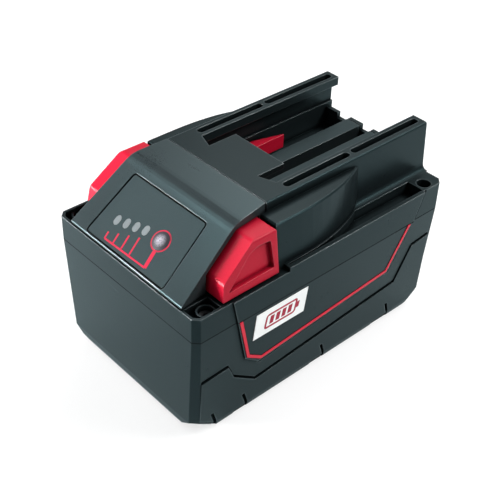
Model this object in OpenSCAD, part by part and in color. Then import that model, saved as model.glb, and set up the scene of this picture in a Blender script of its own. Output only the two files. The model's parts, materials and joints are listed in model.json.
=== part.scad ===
// Slide-on battery pack of a cordless tool. Sizes in millimetres, Z up.
// X runs across the pack. Y runs along it, from the gauge end at -Y to the open end of the rails at +Y.
// The origin is the middle of the base.

/* [Cells] */
// Diameter of a cell
cell_d = 18; // [17.6:0.1:18.4]
// Length of a cell
cell_l = 65; // [62:0.5:70]
// Gap between neighbouring cells
cell_gap = 0.6; // [0.4:0.1:1.4]
// Wall of the cell holders
holder_wall = 0.8; // [0.6:0.1:1.2]
// Depth of the holder sleeves along a cell
holder_depth = 10; // [8:0.5:14]
// Thickness of the bus strips
strip_t = 0.3; // [0.2:0.05:0.5]
// Width of the bus strips
strip_w = 8; // [7:0.5:10]
// Thickness of the insulating sheets
sheet_t = 0.3; // [0.2:0.1:0.6]
// Thickness of the foam pad under the cells
pad_t = 1.2; // [0.8:0.1:2.4]

/* [Case] */
// Wall thickness of both case halves
wall = 2.5; // [2.2:0.1:3]
// Room between the cell pack and each end wall
end_room = 1.9; // [1.8:0.1:4]
// Room between the cell pack and each side wall
side_room = 7.9; // [7.6:0.1:10]
// Room above the cells for the control board
board_room = 21.6; // [20.6:0.2:26]
// Height of the upright band of the upper case
band_h = 11.4; // [9:0.2:13]
// Cut across the upright corners
corner_cut = 2.5; // [1.6:0.1:3.4]
// Lean of each long side of the lower case
side_draft = 2.6; // [1.5:0.1:3]
// Lean of the front of the lower case
front_draft = 0.8; // [0.4:0.1:1.4]
// Lean of the rear of the lower case
rear_draft = 1.6; // [0.6:0.1:1.7]
// Rounding of the front bottom edge
front_round = 9; // [5:0.5:10]
// Rounding of the rear bottom edge
rear_round = 9.5; // [7:0.5:10.5]
// Rounding of the bottom edges along the sides
edge_round = 4; // [3:0.2:5]
// Rise of the rim behind the latches
rim_step = 1.8; // [1.2:0.1:2.4]
// Depth of the pockets inside the rim
pocket_d = 3.4; // [2:0.2:4.6]
// Height of the label panels above the sides
label_raise = 0.7; // [0.4:0.1:1.1]
// Height of the bumpers above the sides
bumper_raise = 0.5; // [0.3:0.1:0.8]
// Width of the groove along the bumpers
groove_w = 1.2; // [0.6:0.1:1.4]
// Width of the groove below and behind the label panels
label_gap = 1.5; // [1:0.1:2]
// Depth of those grooves
groove_d = 0.8; // [0.3:0.1:0.9]

/* [Rails] */
// Height of the rails above the rim
rail_h = 24.7; // [23.6:0.1:27]
// Clear width between the rail flanges
channel_w = 44.8; // [43.6:0.2:46]
// Width of the top of a rail
flange_w = 7.8; // [7:0.1:8.4]
// Thickness of a rail flange
flange_t = 4.1; // [3.4:0.1:4.8]
// Depth of the undercut below a flange
undercut = 3.6; // [3:0.1:4]
// Height of that undercut
undercut_h = 9.1; // [8:0.1:9.8]
// Width of the sill below the undercut
sill = 1; // [0.6:0.1:1.4]
// How far a rail grows outwards at its foot
rail_flare = 1.4; // [0.8:0.1:2]
// How far the rails pass the rear of the case
rail_overhang = 0.8; // [0.4:0.1:1.6]
// Width of the slots along the rails
slot_w = 3.4; // [2.6:0.1:3.8]
// Depth of those slots
slot_d = 3; // [2:0.1:3.2]
// Length of the front slot
front_slot_l = 36.6; // [30:0.2:42]
// Length of the tongue plate behind the seam
tongue_l = 24.1; // [20:0.1:28]
// Width of the free end of the tongue plate
tongue_w = 29.2; // [26:0.2:32]
// Thickness of the tongue plate
tongue_t = 2.5; // [2:0.1:3.2]
// Width of a fender block at its foot
fender_w = 9.8; // [9:0.1:10.4]
// Lean of the outer side of a fender block
fender_lean = 2.2; // [1.4:0.1:3]
// Drop from the rail top to the fender top
fender_drop = 3.9; // [3:0.1:5.5]

/* [Gauge cover] */
// Length of the gauge cover
cover_l = 45.8; // [44.4:0.2:48]
// Width of the cover at its foot
cover_w = 70.4; // [69:0.2:71]
// Width of the cover at its bend
bend_w = 63.4; // [62.6:0.2:64.2]
// Run of the sloped face along the pack
slope_run = 28.9; // [28:0.1:30.4]
// Drop from the rail top to the bend
bend_drop = 1.2; // [0.8:0.1:1.8]
// Wall thickness of the cover
cover_t = 2; // [1.7:0.1:2.2]
// Width of the overlay at its foot
overlay_w = 49.4; // [47:0.2:52]
// Width of the overlay at its top
overlay_top_w = 45; // [43:0.2:47]
// Length of the overlay up the slope
overlay_l = 30.4; // [28.6:0.2:31.4]
// Thickness of the overlay
overlay_t = 0.8; // [0.5:0.1:0.9]
// Radius of the gauge button
dome_r = 4; // [3.6:0.1:4.3]
// Travel of the gauge button
dome_travel = 0.6; // [0.4:0.1:0.7]
// Width of a charge window
window_w = 2.9; // [2.4:0.1:3.6]
// Length of a charge window
window_l = 4.2; // [3.6:0.1:5.2]
// Distance between charge windows
window_pitch = 4.95; // [4.7:0.01:5.1]

/* [Latches] */
// Travel of a release latch
latch_travel = 4; // [3:0.1:4.2]
// Length of a release button
button_l = 28.2; // [26.8:0.2:28.8]
// Length of the flat top of a release button
button_top_l = 12; // [10:0.2:13.4]
// Drop from the rail top to the button top
button_drop = 4.5; // [4.1:0.1:6]
// Height of the front of a release button
button_front_h = 7.4; // [5.5:0.1:7.8]
// Lean of the outer side of a release button
button_lean = 2.6; // [1.8:0.1:3.4]
// Setback of a release button from the side of the case
button_setback = 1; // [0.8:0.1:2]
// Width of the latch arm and its hook
hook_w = 4.8; // [4:0.1:5.2]
// Height of the latch arm and its hook
hook_h = 6.7; // [5.5:0.1:7.4]
// Length of the slanted nose of the hook
hook_nose = 14.8; // [11:0.2:18]
// Length of a latch spring when pressed home
spring_solid = 2; // [1.6:0.1:3]

/* [Terminals and board] */
// Width of the middle slot of the terminal block
signal_slot_w = 6.2; // [5.6:0.1:6.8]
// Width of each rib of the terminal block
rib_w = 7.7; // [7:0.1:8]
// Width of each blade slot
blade_slot_w = 6.7; // [6.2:0.1:6.9]
// Height of the ribs above the rim
rib_h = 9.4; // [8.4:0.1:10.4]
// Drop of the notches in the rear wall of the channel
notch_d = 2.7; // [1.8:0.1:3.6]
// Thickness of the control board
board_t = 1.6; // [1:0.1:2]
// Height of the control board above the cell holders
board_lift = 8; // [7:0.2:9]
// Width of the control board
board_w = 58; // [57:0.5:60]

/* [Badge] */
// Length of the badge plate
badge_l = 28.8; // [24:0.2:32]
// Height of the badge plate
badge_h = 12.6; // [10:0.1:13]
// Thickness of the badge plate and the stripe
badge_t = 0.25; // [0.15:0.05:0.4]
// Width of the stripe
stripe_w = 1.3; // [0.8:0.1:1.8]

/* [Hidden] */
$fn = 48;
// Numbers of cells along the pack and upwards
columns = 7;
layers = 2;
// Clearances: sliding pieces, seats of thin pieces, pins in bores, parting gap of the cover
slide_gap = 0.3;
seat_gap = 0.2;
pin_gap = 0.05;
cover_gap = 0.3;
// How far joined solids reach into each other
bite = 1;

pitch = cell_d + cell_gap;
pack_l = columns * pitch - cell_gap + 2 * holder_wall;
pack_w = cell_l + 2 * (holder_wall + sheet_t);
body_l = pack_l + 2 * (end_room + wall);
body_w = pack_w + 2 * (side_room + wall);
front_y = -body_l / 2;
rear_y = body_l / 2;
side_x = body_w / 2;
holder_z = wall + pad_t;
cell_z = holder_z + holder_wall + cell_d / 2;
holder_top = cell_z + (layers - 1) * pitch + cell_d / 2 + holder_wall;
deck_z = holder_top + board_room;
rim_z = deck_z + wall;
parting_z = rim_z - band_h;
top_z = rim_z + rail_h;
rear_rim = rim_z + rim_step;
pocket_z = rim_z - pocket_d;

// Rail section
flange_in = channel_w / 2;
rail_out = flange_in + flange_w;
under_x = flange_in + undercut;
sill_x = under_x - sill;
flange_z = top_z - flange_t;
sill_z = flange_z - undercut_h;
rail_round = 1.2;
root_round = 2.8;
rail_end = rear_y + rail_overhang;
// Rail slots
slot_x = flange_in + 1.9 + slot_w / 2;
slot_web = 1.7;
slot_end = 1.8;
slot_start = 13.1;

// Gauge cover lines
foot_y = front_y + 0.6;
foot_z = rim_z + 1.2;
seam_y = foot_y + cover_l;
bend_y = foot_y + slope_run;
bend_z = top_z - bend_drop;
slope = atan2(bend_z - foot_z, slope_run);
seam_half = rail_out - 0.5;
cover_z = rim_z + cover_gap;
foot_round = 0.5;
bend_round = 4;
peg_w = 6;
peg_t = 3;
peg_y = foot_y + 6.5;
// Gauge face, measured from the foot up the slope
overlay_x = -1.3;
overlay_s = 0.5;
overlay_round = 2;
overlay_line = 0.7;
overlay_seat = 1;
window_x = -15.75;
window_s = 11.4;
window_rise = 1.13;
dome_x = 8.3;
dome_s = 15;
dome_rise = 0.9;
dome_flange = 1;
flange_thick = 1;
stem_r = 1.5;
stem_l = 1.2;
rubber_solid = 0.3;
rubber_l = dome_travel + rubber_solid;
switch_h = 0.5;
switch_w = 6;
lens_t = 2.4;
led_h = 0.9;
led_w = 2;
gauge_board_t = 1.2;
flange_top = -cover_t - seat_gap;
stem_end = flange_top - flange_thick - stem_l;
gauge_board_z = stem_end - rubber_l - switch_h;
gauge_post_r = 2.2;
gauge_screw_r = 0.8;
gauge_screw_l = 3;
gauge_head_r = 1.6;
gauge_head_h = 1.1;
gauge_post_s = window_s + 10.9;
gauge_posts = [[window_x - 3.85, gauge_post_s], [dome_x + 5.2, gauge_post_s]];
gauge_board_x0 = window_x - 7.25;
gauge_board_x1 = dome_x + 8.7;
gauge_board_s0 = window_s - 5;
gauge_board_s1 = gauge_post_s + 2.4;
gauge_low = gauge_board_z - gauge_board_t - gauge_head_h;
gauge_back_y = foot_y + gauge_board_s1 * cos(slope) - gauge_low * sin(slope);

// Latch lines
button_y1 = seam_y - 4.2;
button_y0 = button_y1 - button_l;
button_z = rim_z + 0.9;
button_top = top_z - button_drop;
button_out = side_x - button_setback;
button_inset = 4.2;
button_in = bend_w / 2 - button_inset;
window_gap = 0.5;
arm_out = sill_x - 0.4;
arm_in = arm_out - hook_w;
arm_z = rim_z + 2.3;
carrier_in = arm_in - 1.8;
carrier_y0 = gauge_back_y + 0.6;
carrier_y1 = button_y1 - 2.4;
carrier_h = 9.2;
hook_y = seam_y + 43.2;
hook_root = hook_y - 21;
hook_tip = 0.4;
dish_d = 1.8;
dish_edge = 3;
spring_r = 3;
spring_wire = 0.8;
spring_l = latch_travel + spring_solid;
spring_y = (carrier_y0 + carrier_y1) / 2;
spring_z = rim_z + 5.2;
spring_x = carrier_in - spring_l;
spring_rib = 2;
peg_l = 1.2;

// Terminal block
rib_in = signal_slot_w / 2;
rib_out = rib_in + rib_w;
slot_out = rib_out + blade_slot_w;
rib_z = rim_z + rib_h;
block_floor = rim_z + 1.5;
rear_wall_t = 2;
rear_wall_y = rear_y - 3.2;
block_y0 = seam_y + 12;
block_y1 = rear_wall_y - slide_gap - seat_gap;
block_flange = 2;
block_flange_t = 2.8;
block_leg = 4;
fork_x = rib_out + 2.4;
fork_half = 1.6;
fork_t = 0.8;
fork_h = 6.4;
fork_y0 = block_y0 + 3;
fork_l = 12;
signal_l = 5.6;
signal_h = 4;
signal_step = 7.6;
tail_w = 1;
tail_l = 3;
tail_back = 1.6;

// Control board
board_z = holder_top + board_lift;
board_top = board_z + board_t;
board_l = pack_l - 9.2;
post_r = 2.6;
post_x = board_w / 2 - 3.2;
post_y = column_y(columns - 2);
board_screw_r = 1.2;
board_head_r = 2.3;
board_head_h = 1.6;
board_screw_l = 6;
riser_w = 2.6;
end_riser_w = 6;
riser_tab = 2.4;
holder_round = 6;
transistor = [9.2, 10, 4.4];
transistor_y = front_y + 24;
transistor_step = 11.6;
chip = [12, 12, 1.4];
chip_y = fork_y0 + fork_l + 8.6;
coil = [10, 8, 5.5];
coil_y = chip_y + 22;
plug = [8, 6, 5];
plug_y = front_y + 12;
can_r = 3.2;
can_h = 7.4;
can_x = 16;
can_y = chip_y + 16;

// Case screws
screw_x = side_x - 4.2;
screw_y = rear_y - 8.3;
screw_r = 1.5;
screw_head_r = 2.8;
screw_head_h = 2.4;
screw_pocket_r = 3.2;
screw_seat_z = rim_z - 6;
screw_l = 22;
drive_r = 1.3;
drive_d = 1.4;
boss_r = 3.9;

// Side marks
label_front = front_y + 17.8;
label_rear = rear_y - 13.4;
label_lean = 2.6;
label_low = rim_z - 40;
badge_y = front_y + 28.8;
badge_z = rim_z - 25.7;
step = 5;

// Colours
shell_black = "#2b3032";
face_grey = "#4a5457";
button_red = "#d81f33";
mark_red = "#c4202c";
badge_white = "#f2f2f0";
lens_grey = "#8b9496";
dome_grey = "#a9a6b4";
board_green = "#1f5a3c";
part_black = "#1b1c1e";
metal = "#c9cbcc";
copper = "#c58a4a";
cell_blue = "#3f7f95";
holder_grey = "#6d7274";
sheet_white = "#dcdcd4";
foam_grey = "#55585a";

// Placing and outlines

module along_x(x0, x1) {
    translate([x0, 0, 0])
    rotate([90, 0, 90])
    linear_extrude(x1 - x0)
    children();
}

module along_y(y0, y1) {
    translate([0, y1, 0])
    rotate([90, 0, 0])
    linear_extrude(y1 - y0)
    children();
}

module upwards(z0, z1) {
    translate([0, 0, z0])
    linear_extrude(z1 - z0)
    children();
}

module block(low, high) {
    translate(low)
    cube(high - low);
}

module both_sides() {
    children();
    mirror([1, 0, 0])
    children();
}

module at_corners(x, y) {
    for (sx = [-1, 1])
        for (sy = [-1, 1])
            translate([sx * x, sy * y, 0])
            children();
}

module on_gauge_face() {
    translate([0, foot_y, foot_z])
    rotate([slope, 0, 0])
    children();
}

function toward(a, b, d) = a + d * (b - a) / norm(b - a);

// Rounds the corner at b between a and c
function corner(a, b, c, r) =
    let (p = toward(b, a, r), q = toward(b, c, r))
    [for (i = [0 : step]) let (t = i / step) (1 - t) * (1 - t) * p + 2 * t * (1 - t) * b + t * t * q];

// Rounds each corner of an outline by its own radius, sharp where that is 0
function rounded(points, radii) =
    let (n = len(points))
    [for (i = [0 : n - 1])
        each radii[i] > 0
            ? corner(points[(i + n - 1) % n], points[i], points[(i + 1) % n], radii[i])
            : [points[i]]];

// Moves an open line sideways by a distance, to its left
function inner_line(points, d) =
    let (n = len(points))
    [for (i = [0 : n - 1])
        let (a = points[max(i - 1, 0)], b = points[i], c = points[min(i + 1, n - 1)],
            u = i > 0 ? (b - a) / norm(b - a) : (c - b) / norm(c - b),
            v = i < n - 1 ? (c - b) / norm(c - b) : u,
            m = [-u[1] - v[1], u[0] + v[0]])
        b + 2 * d * m / (m * m) + (i == 0 || i == n - 1 ? [0, bite - 2 * d * m[1] / (m * m)] : [0, 0])];

function raised(points, up) = [for (i = [len(points) - 1 : -1 : 0]) points[i] + [0, up]];

function cut_at(inset) = max(corner_cut - 0.586 * inset, 0.6);

module case_outline(inset) {
    x = side_x - inset;
    y = rear_y - inset;
    cut = cut_at(inset);
    polygon([[x - cut, -y], [x, -y + cut], [x, y - cut], [x - cut, y],
        [-x + cut, y], [-x, y - cut], [-x, -y + cut], [-x + cut, -y]]);
}

// Solid of the lower case, its skin moved inwards by the inset
module lower_solid(inset) {
    low = side_x - side_draft - inset;
    high = side_x - inset;
    side_r = max(edge_round - inset, 0.8);
    front_r = max(front_round - inset, 0.8);
    rear_r = max(rear_round - inset, 0.8);
    lift = inset < bite && inset > 0 ? 0 : inset;
    head = inset > 0 ? parting_z + bite : parting_z;
    grow = inset > 0 ? side_draft * bite / parting_z : 0;
    intersection() {
        along_y(front_y - bite, rear_y + bite)
        polygon(rounded([[-low, lift], [low, lift], [high + grow, head], [-high - grow, head]],
            [side_r, side_r, 0, 0]));
        along_x(-side_x - bite, side_x + bite)
        polygon(rounded([[front_y + front_draft + inset, lift], [rear_y - rear_draft - inset, lift],
            [rear_y - inset, head], [front_y + inset, head]], [front_r, rear_r, 0, 0]));
        lower_corners(45, inset, lift, head, front_r, 0.75 * rear_r);
        lower_corners(-45, inset, lift, head, front_r, 0.75 * rear_r);
    }
}

// Prism across two opposite upright corners, leaning with the sides
module lower_corners(turn, inset, lift, head, front_cut, rear_cut) {
    high = (side_x + rear_y - 2 * inset - cut_at(inset)) / sqrt(2);
    front = high - (side_draft + front_draft) / sqrt(2);
    rear = high - (side_draft + rear_draft) / sqrt(2);
    rotate([0, 0, turn])
    along_x(-body_l, body_l)
    polygon([[front_cut - front, lift], [rear - rear_cut, lift], [rear, lift + rear_cut],
        [high, head], [-high, head], [-front, lift + front_cut]]);
}

// Plate on the leaning right side between two distances from it, drawn along the pack and upwards
module on_lower_side(inner, outer) {
    translate([side_x, 0, parting_z])
    rotate([0, atan2(side_draft, parting_z), 0])
    along_x(inner, outer)
    translate([0, -parting_z])
    children();
}

// Side outlines, along the pack and upwards
panel_front = label_front + label_lean;
panel_rear = label_rear - label_lean - 2;
label_points = [[panel_front, parting_z - seat_gap / 2], [panel_front + 5.3, label_low + 6.2],
    [panel_front + 13, label_low], [panel_rear - 12.6, label_low + 6],
    [panel_rear, parting_z - seat_gap / 2]];

stripe_points = [[panel_front + 0.7, parting_z - seat_gap], [panel_front + 6.1, label_low + 6.6],
    [panel_front + 13.8, label_low + 1.2], [panel_rear - 13.6, label_low + 7.2],
    [panel_rear - 2.2, parting_z - seat_gap]];

bumper_front = front_y + front_draft + corner_cut + 0.3;
bumper_rear = rear_y - rear_draft - corner_cut - 0.3;
bumper_line = [[bumper_front, rim_z - 34.2], [front_y + 17.2, rim_z - 33.5], [front_y + 20.4, rim_z - 41],
    [front_y + 32.6, rim_z - 50.2], [rear_y - 23.8, rim_z - 43.5], [rear_y - 15.5, rim_z - 26.4],
    [bumper_rear, rim_z - 25.1]];

module bumper_area() {
    front = [bumper_front, foot_cut_h];
    rear = [bumper_rear, foot_cut_h];
    polygon(concat([front + [0.95 * front_round, 0], front + [0, 0.65 * front_round]], bumper_line,
        [rear + [0, 0.45 * rear_round], rear - [0.55 * rear_round, 0]]));
}

// Groove along the lower and the rear edge of a label panel
label_edge = [label_points[2] + [0, seat_gap], label_points[3] + [-seat_gap, seat_gap],
    label_points[4] + [-seat_gap, bite], label_points[4] + [label_gap, bite],
    label_points[3] + label_gap * [0.8, -0.6], label_points[2] - [0, label_gap]];

// Feet cut into the bottom edge of each long side, start and length
foot_cuts = [[front_y + 10, 3], [front_y + 22.2, 7.5], [-3.5, 8.4], [rear_y - 34.2, 11]];
foot_cut_h = 4.6;
foot_cut_d = 1.3;
foot_groove = 1.6;
foot_mark_h = 6.6;
foot_mark_lean = 2.6;

module lower_case() {
    color(shell_black)
    difference() {
        union() {
            difference() {
                lower_solid(0);
                lower_solid(wall);
            }
            intersection() {
                lower_solid(bite / 2);
                at_corners(screw_x, screw_y)
                translate([0, 0, wall / 2])
                cylinder(r = boss_r, h = parting_z - wall / 2);
            }
            both_sides()
            on_lower_side(-bite, label_raise)
            polygon(label_points);
            both_sides()
            on_lower_side(-bite, bumper_raise)
            bumper_area();
        }
        both_sides()
        on_lower_side(-groove_d, bite)
        polygon(concat(bumper_line, raised(bumper_line, groove_w)));
        both_sides()
        on_lower_side(-groove_d, bite)
        polygon(label_edge);
        both_sides()
        foot_marks();
        at_corners(screw_x, screw_y)
        translate([0, 0, screw_seat_z - screw_l - 1])
        cylinder(r = screw_r + pin_gap, h = screw_l);
    }
}

module foot_marks() {
    on_lower_side(-foot_cut_d, 2 * bite)
    for (cut = foot_cuts)
        translate([cut[0], -bite])
        square([cut[1], foot_cut_h + bite]);
    on_lower_side(-foot_cut_d, 2 * bite)
    for (cut = foot_cuts)
        translate([cut[0] + cut[1], foot_cut_h])
        polygon([[-foot_groove, -bite], [0, -bite], [-foot_mark_lean, foot_mark_h],
            [-foot_mark_lean - foot_groove, foot_mark_h]]);
}

// Upper case

fender_in = rail_out - bite;
fender_out = rail_foot() + fender_w;
fender_y0 = seam_y - 3.3;
fender_flat = 13.4;
fender_turn = 38.4;
fender_l = 56.4;
fender_ease = 0.7;
fender_slice = 0.1;
fender_bead = 0.9;
rim_lip = 1.2;
rim_y = seam_y + cover_gap;

function rail_foot() = rail_out + rail_flare;

// Half width of the gauge cover between its bend and its seam
function cover_half(y) = seam_half + (bend_w / 2 - seam_half) * (seam_y - y) / (seam_y - bend_y);

// Outline of a fender block, swept back to the rail
function fender_outline(lean, ease) =
    let (x = fender_out - lean - ease, y = fender_y0, end = y + fender_l - 1.2 * lean - 2 * ease)
    concat([[fender_in, y + ease], [x, y + ease]],
        [for (i = [0 : 8]) let (t = i / 8)
            (1 - t) * (1 - t) * [x, y + fender_flat] + 2 * t * (1 - t) * [x, y + fender_turn]
            + t * t * [rail_out + 0.6, end]],
        [[fender_in, end]]);

module fender() {
    top = top_z - fender_drop;
    difference() {
        hull() {
            upwards(rim_z - bite, rim_z)
            polygon(fender_outline(0, 0));
            upwards(top - fender_ease - fender_slice, top - fender_ease)
            polygon(fender_outline(fender_lean, 0));
            upwards(top - fender_slice, top)
            polygon(fender_outline(fender_lean, fender_ease));
        }
        block([fender_in - bite, fender_y0 - bite, rim_z],
            [cover_half(fender_y0) + cover_gap, seam_y, top_z]);
    }
}

module rail() {
    flare = rail_foot();
    root = [flare, rear_rim];
    along_y(seam_y, rail_end)
    polygon(concat([[sill_x, rim_z - bite], [sill_x, sill_z], [under_x, sill_z], [under_x, flange_z],
        [flange_in, flange_z], [flange_in, top_z]],
        corner([flange_in, top_z], [rail_out, top_z], root, rail_round),
        corner([rail_out, top_z], root, root + [2 * root_round, 0], root_round),
        [[flare + bite, rim_z - bite]]));
}

module tongue() {
    half = tongue_w / 2;
    in = flange_in + bite;
    deep = seam_y + 9.6;
    rail_side = seam_y + 12.3;
    end = seam_y + tongue_l;
    upwards(top_z - tongue_t, top_z)
    polygon([[-in, seam_y], [in, seam_y], [in, rail_side], [flange_in, rail_side], [half, deep],
        [half, end], [-half, end], [-half, deep], [-flange_in, rail_side], [-in, rail_side]]);
}

module rear_wall() {
    difference() {
        block([-under_x, rear_wall_y, deck_z], [under_x, rear_wall_y + rear_wall_t, rib_z]);
        block([-rib_in, front_y, rib_z - notch_d], [rib_in, rail_end, top_z]);
        both_sides()
        block([rib_out, front_y, rib_z - notch_d], [slot_out, rail_end, top_z]);
    }
}

module rail_slot(y0, y1) {
    r = slot_w / 2;
    upwards(top_z - slot_d, top_z + bite)
    union() {
        translate([slot_x, y0 + r])
        circle(r);
        translate([slot_x, y1 - r])
        circle(r);
        translate([slot_x - r, y0 + r])
        square([slot_w, y1 - y0 - slot_w]);
    }
}

// Areas of the pockets beside the gauge cover and beside a rail, on the right
module pocket_area(grow) {
    front_l = button_y0 - rim_lip - front_y;
    rear_l = screw_y - screw_pocket_r - rim_y - 2 * rim_lip;
    translate([cover_w / 2 + 0.4 - grow, front_y - grow])
    square([side_x, front_l + 2 * grow]);
    translate([rail_foot() + root_round + 0.3 - grow, rim_y + rim_lip - grow])
    square([side_x, rear_l + 2 * grow]);
}

// Band with its stepped rim and its pockets
module band() {
    difference() {
        union() {
            difference() {
                upwards(parting_z, rim_z)
                case_outline(0);
                upwards(parting_z - bite, deck_z)
                case_outline(wall);
            }
            both_sides()
            intersection() {
                upwards(rim_z - bite, rear_rim)
                case_outline(0);
                block([rail_out, rim_y, parting_z], [side_x + bite, rear_y + bite, top_z]);
            }
            both_sides()
            upwards(pocket_z - wall, deck_z + wall / 2)
            intersection() {
                case_outline(wall / 2);
                pocket_area(wall);
            }
        }
        both_sides()
        upwards(pocket_z, top_z)
        difference() {
            intersection() {
                case_outline(rim_lip);
                pocket_area(0);
            }
            polygon(fender_outline(0, -fender_bead));
        }
    }
}

// Rear edge of a label panel at a height of the band
function label_back(z) = panel_rear + (label_rear - panel_rear) * (z - parting_z) / band_h;

module upper_case() {
    front_slot_y = seam_y + slot_start;
    rear_slot_y = front_slot_y + front_slot_l + slot_web;
    color(shell_black)
    difference() {
        union() {
            band();
            both_sides()
            rail();
            both_sides()
            fender();
            tongue();
            rear_wall();
            both_sides()
            along_x(side_x - bite, side_x + label_raise)
            polygon([[panel_front, parting_z], [panel_rear, parting_z], [label_back(rear_rim), rear_rim],
                [rim_y, rear_rim], [rim_y, rim_z], [label_front, rim_z]]);
            intersection() {
                at_corners(screw_x, screw_y)
                translate([0, 0, parting_z])
                cylinder(r = boss_r, h = band_h - 1.5);
                upwards(parting_z, rim_z)
                case_outline(0.3);
            }
            both_sides()
            spring_seat();
        }
        both_sides()
        along_x(side_x - groove_d / 2, side_x + 2 * bite)
        polygon([for (edge = [[parting_z - bite, -seat_gap], [parting_z - bite, label_gap],
            [rear_rim + bite, label_gap], [rear_rim + bite, -seat_gap]])
            [label_back(edge[0]) + edge[1], edge[0]]]);
        block_half = slot_out + slide_gap;
        block([-block_half, block_y0 - slide_gap, deck_z - bite],
            [block_half, block_y1 + slide_gap, rim_z + bite]);
        block([-cover_w / 2 + 9, foot_y + 4, deck_z - bite],
            [cover_w / 2 - 9, carrier_y0 - 3, rim_z + bite]);
        both_sides()
        rail_slot(front_slot_y, front_slot_y + front_slot_l);
        both_sides()
        rail_slot(rear_slot_y, rail_end - slot_end);
        at_corners(screw_x, screw_y) {
            translate([0, 0, screw_seat_z])
            cylinder(r = screw_pocket_r, h = band_h);
            translate([0, 0, parting_z - bite])
            cylinder(r = screw_r + slide_gap, h = band_h);
        }
    }
}

module spring_seat() {
    half = spring_r + 1.5;
    block([spring_x - spring_rib, spring_y - half, rim_z - bite],
        [spring_x, spring_y + half, spring_z + half]);
    translate([spring_x - bite, spring_y, spring_z])
    rotate([0, 90, 0])
    cylinder(r = spring_r - spring_wire - slide_gap, h = peg_l + bite);
}

// Gauge cover and what it carries

function cover_side(t) =
    let (drop = t / cos(slope), low = cover_z - (t > 0 ? bite : 0),
        back = seam_y - seat_gap + (t > 0 ? bite : 0), foot = foot_y + (low - foot_z + drop) / tan(slope))
    t > 0
        ? [[foot, low], [bend_y, bend_z - drop], [back, top_z - t], [back, low]]
        : rounded([[foot_y, low], [foot_y, foot_z], [bend_y, bend_z], [back, top_z], [back, low]],
            [0, foot_round, bend_round, 0, 0]);

module cover_plan(t) {
    foot = cover_w / 2 - t;
    bend = bend_w / 2 - t;
    seam = seam_half - t;
    polygon([[-foot, foot_y - bite], [foot, foot_y - bite], [foot, foot_y], [bend, bend_y],
        [seam, seam_y + bite], [-seam, seam_y + bite], [-bend, bend_y], [-foot, foot_y]]);
}

module cover_body(t) {
    intersection() {
        along_x(-side_x, side_x)
        polygon(cover_side(t));
        upwards(rim_z - bite, top_z + bite)
        cover_plan(t);
    }
}

function overlay_points(inset) =
    let (foot = overlay_w / 2 - inset, top = overlay_top_w / 2 - inset, low = overlay_s + inset,
        high = overlay_s + overlay_l - inset)
    rounded([[overlay_x - foot, low], [overlay_x + foot, low],
        [overlay_x + top, high], [overlay_x - top, high]],
        [for (i = [0 : 3]) max(overlay_round - inset, 0.4)]);

module window_shape(ease) {
    r = window_w / 2 + ease;
    reach = (window_l - window_w) / 2;
    for (i = [0 : 3])
        translate([window_x + i * window_pitch, window_s + i * window_rise]) {
            translate([0, reach])
            circle(r);
            translate([0, -reach])
            circle(r);
            translate([-r, -reach])
            square([2 * r, 2 * reach]);
        }
}

module at_dome() {
    on_gauge_face()
    translate([dome_x, dome_s, 0])
    children();
}

module latch_window() {
    lean_y = button_y1 - button_top_l;
    along_x(button_in - bite, side_x)
    polygon([[button_y0 - window_gap, rim_z - bite],
        [button_y0 - window_gap, button_z + button_front_h + window_gap],
        [lean_y - window_gap, button_top + window_gap],
        [button_y1 + window_gap, button_top + window_gap],
        [button_y1 + window_gap, rim_z - bite]]);
}

// The pegs stand on the flanks, a quarter of the way from the foot to the bend
module gauge_cover() {
    peg_hold = 1.125;
    peg_x = (3 * cover_w + bend_w) / 8 - peg_hold - peg_w;
    color(face_grey)
    difference() {
        union() {
            difference() {
                cover_body(0);
                cover_body(cover_t);
                both_sides()
                latch_window();
            }
            on_gauge_face()
            for (post = gauge_posts)
                translate([post[0], post[1], gauge_board_z])
                cylinder(r = gauge_post_r, h = -gauge_board_z - cover_t / 2);
            both_sides()
            block([peg_x, peg_y, rim_z], [peg_x + peg_w, peg_y + peg_t, cover_z + peg_t]);
        }
        on_gauge_face() {
            translate([0, 0, -overlay_seat])
            linear_extrude(overlay_seat + bite)
            polygon(overlay_points(0));
            translate([0, 0, -cover_t - bite])
            linear_extrude(cover_t + 2 * bite)
            window_shape(seat_gap / 2);
            for (post = gauge_posts)
                translate([post[0], post[1], gauge_board_z - bite])
                cylinder(r = gauge_screw_r + pin_gap, h = gauge_screw_l + bite + pin_gap);
        }
        at_dome()
        translate([0, 0, -cover_t - bite])
        cylinder(r = dome_r + seat_gap, h = cover_t + 2 * bite);
    }
}

module gauge_overlay() {
    color(face_grey)
    difference() {
        on_gauge_face()
        translate([0, 0, -overlay_seat])
        linear_extrude(overlay_t)
        polygon(overlay_points(overlay_line));
        on_gauge_face()
        translate([0, 0, -cover_t])
        linear_extrude(cover_t + bite)
        window_shape(seat_gap / 2);
        at_dome()
        translate([0, 0, -cover_t])
        cylinder(r = dome_r + seat_gap, h = cover_t + bite);
    }
}

module led_lens() {
    rim = 1.6;
    color(lens_grey)
    on_gauge_face() {
        translate([0, 0, -cover_t])
        linear_extrude(cover_t - overlay_seat + overlay_t)
        window_shape(0);
        translate([window_x - window_w / 2 - rim, window_s - window_l / 2 - rim, -cover_t - lens_t])
        cube([3 * window_pitch + window_w + 2 * rim, 3 * window_rise + window_l + 2 * rim, lens_t]);
    }
}

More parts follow.
